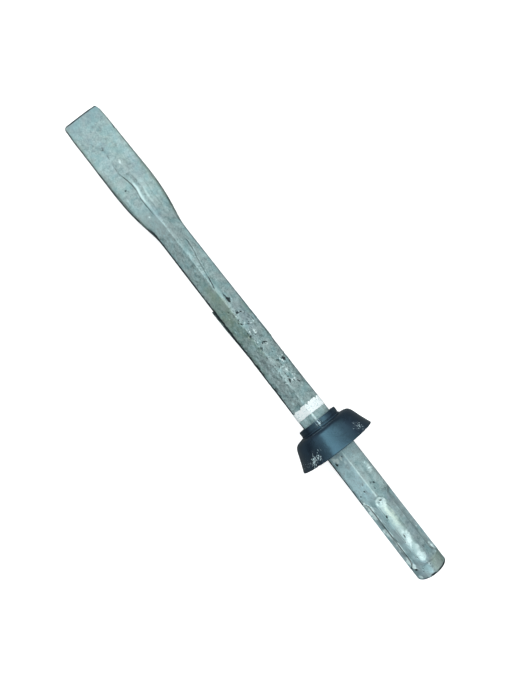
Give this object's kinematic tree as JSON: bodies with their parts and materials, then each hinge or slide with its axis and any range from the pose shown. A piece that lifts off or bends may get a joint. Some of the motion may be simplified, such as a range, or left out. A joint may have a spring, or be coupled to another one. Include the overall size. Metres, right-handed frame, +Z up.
{
  "type": "flat breaker chisel",
  "caption": "Forged flat chisel for a demolition hammer: hexagonal shank with closed corner slots, round drive end, sliding rubber dust cup and a white marking ring.",
  "frame": {"origin": "centre of the striking face at the drive end", "axes": "+X out of the drive end along the shank, so the blade is at -X; +Z up, square to the blade's broad faces and through one corner of the hexagon; +Y across the blade"},
  "size_m": [0.42, 0.0576, 0.0576],
  "materials": {
    "forged_steel": "grey forged tool steel with a dusty grey-green film, pitted and bruised along the shank",
    "rubber": "matte black rubber with a slight grey-blue bloom and pale scuffs",
    "white_tape": "matte white tape, dusty and ragged along one edge"
  },
  "bodies": {
    "tool": {"chisel": "forged_steel", "marking_tape": "white_tape"},
    "cup": {"dust_cup": "rubber"}
  },
  "joints": [
    {"name": "dust_cup_slide", "type": "slide", "parent": "tool", "child": "cup", "axis": [1, 0, 0], "range_m": [-0.0052, 0.13]}
  ]
}
